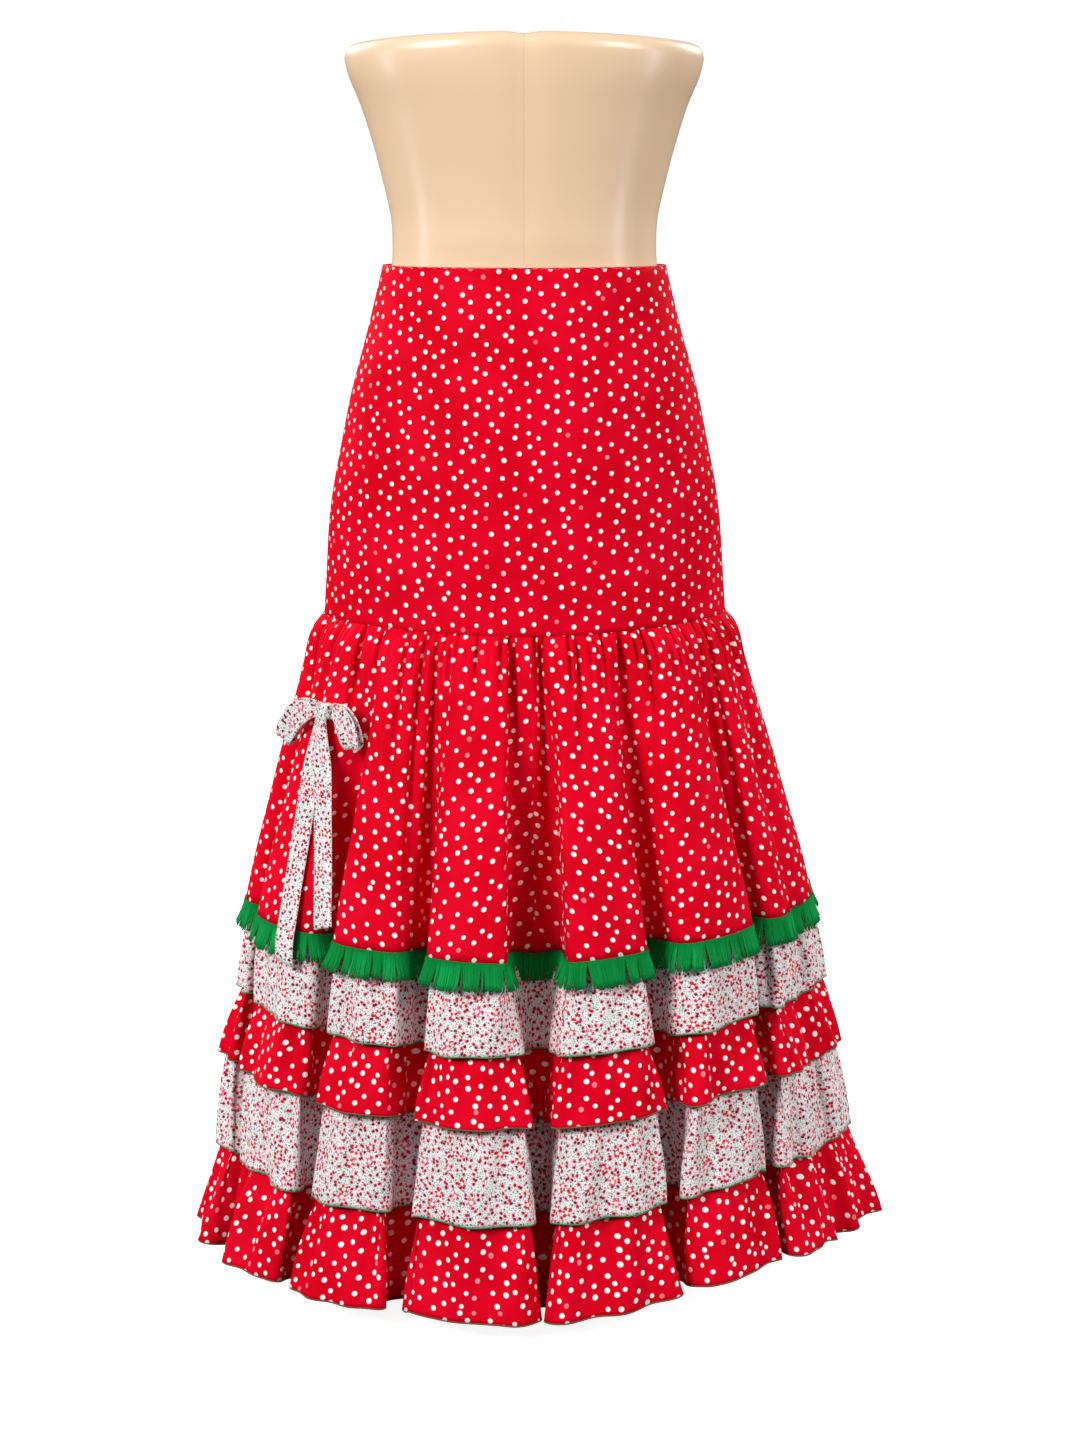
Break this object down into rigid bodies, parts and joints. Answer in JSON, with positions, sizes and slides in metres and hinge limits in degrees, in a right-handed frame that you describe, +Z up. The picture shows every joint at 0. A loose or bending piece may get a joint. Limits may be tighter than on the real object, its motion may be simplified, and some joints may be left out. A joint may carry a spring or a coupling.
{
  "type": "flamenco skirt on a dress form",
  "caption": "Long flamenco skirt with a fitted yoke, a gathered flounce, green fringe, dotted and floral ruffles and a bow, on a limbless dress form with a stand.",
  "frame": {"origin": "centre of the stand base's underside, on the floor", "axes": "+Z up along the pole, -Y towards the front of the skirt, +X to the right of someone who looks at the front"},
  "size_m": [0.6348, 0.5648, 1.1185],
  "materials": {
    "yoke_cloth": "soft red woven cloth with small white dots",
    "flounce_cloth": "soft red woven cloth with white dots",
    "dotted_ruffle_cloth": "soft red woven cloth with large white dots and a rolled hem",
    "floral_ruffle_cloth": "white woven cloth with a small red and pink flower print and a green rolled hem",
    "bow_ribbon": "white ribbon with a small red and pink flower print",
    "fringe_yarn": "green yarn, cut ends",
    "form_shell": "satin moulded shell",
    "stand_steel": "satin steel"
  },
  "bodies": {
    "root": {"yoke_front": "yoke_cloth", "yoke_back_left": "yoke_cloth", "yoke_back_right": "yoke_cloth", "flounce": "flounce_cloth", "hem_fringe": "fringe_yarn", "ruffle_1_floral": "floral_ruffle_cloth", "ruffle_2_dots": "dotted_ruffle_cloth", "ruffle_3_floral": "floral_ruffle_cloth", "ruffle_4_dots": "dotted_ruffle_cloth", "bow_knot": "bow_ribbon", "bow_loop_left": "bow_ribbon", "bow_loop_right": "bow_ribbon", "bow_tail_left": "bow_ribbon", "bow_tail_right": "bow_ribbon", "dress_form": "form_shell", "stand_pole": "stand_steel", "stand_base": "stand_steel"}
  },
  "joints": []
}
